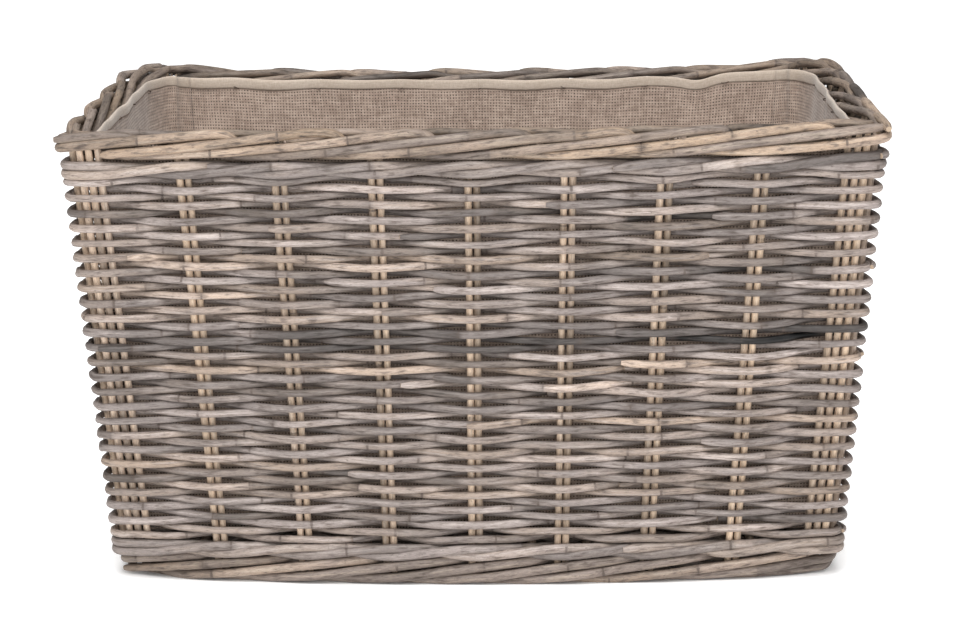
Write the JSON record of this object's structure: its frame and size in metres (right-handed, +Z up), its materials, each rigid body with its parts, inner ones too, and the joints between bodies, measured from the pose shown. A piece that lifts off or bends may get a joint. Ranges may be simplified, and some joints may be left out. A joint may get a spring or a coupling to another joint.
{
  "type": "log basket",
  "caption": "Rectangular woven cane log basket with leaning sides, rolled rim and foot, paired upright stakes, woven base and a coarse cloth lining sewn in at the rim.",
  "frame": {"origin": "middle of the foot's rectangle, on the floor", "axes": "+Z up, +X along the long side to the right as seen from the front, front face towards -Y"},
  "size_m": [0.8, 0.4902, 0.46],
  "materials": {
    "stake_cane": "dry peeled cane, cream to buff",
    "weave_cane": "weathered grey washed cane",
    "wale_cane": "weathered grey cane",
    "strand_cane": "weathered buff and grey cane",
    "lining_cloth": "loose woven hessian",
    "hem_cloth": "folded hessian hem",
    "tie_twine": "dark waxed twine"
  },
  "bodies": {
    "root": {"stakes_front": "stake_cane", "stakes_right": "stake_cane", "stakes_back": "stake_cane", "stakes_left": "stake_cane", "corner_stakes_fr": "stake_cane", "corner_stakes_br": "stake_cane", "corner_stakes_bl": "stake_cane", "corner_stakes_fl": "stake_cane", "weave_front_low": "weave_cane", "weave_front_mid": "weave_cane", "weave_front_high": "weave_cane", "weave_right_low": "weave_cane", "weave_right_mid": "weave_cane", "weave_right_high": "weave_cane", "weave_back_low": "weave_cane", "weave_back_mid": "weave_cane", "weave_back_high": "weave_cane", "weave_left_low": "weave_cane", "weave_left_mid": "weave_cane", "weave_left_high": "weave_cane", "top_wale_front": "wale_cane", "top_wale_right": "wale_cane", "top_wale_back": "wale_cane", "top_wale_left": "wale_cane", "foot_wale_front": "wale_cane", "foot_wale_right": "wale_cane", "foot_wale_back": "wale_cane", "foot_wale_left": "wale_cane", "rim_front": "strand_cane", "rim_right": "strand_cane", "rim_back": "strand_cane", "rim_left": "strand_cane", "foot_front": "strand_cane", "foot_right": "strand_cane", "foot_back": "strand_cane", "foot_left": "strand_cane", "base_sticks": "stake_cane", "base_weave": "weave_cane", "lining_front": "lining_cloth", "lining_right": "lining_cloth", "lining_back": "lining_cloth", "lining_left": "lining_cloth", "lining_base": "lining_cloth", "hem_front": "hem_cloth", "hem_right": "hem_cloth", "hem_back": "hem_cloth", "hem_left": "hem_cloth", "ties_front": "tie_twine", "ties_right": "tie_twine", "ties_back": "tie_twine", "ties_left": "tie_twine"}
  },
  "joints": []
}
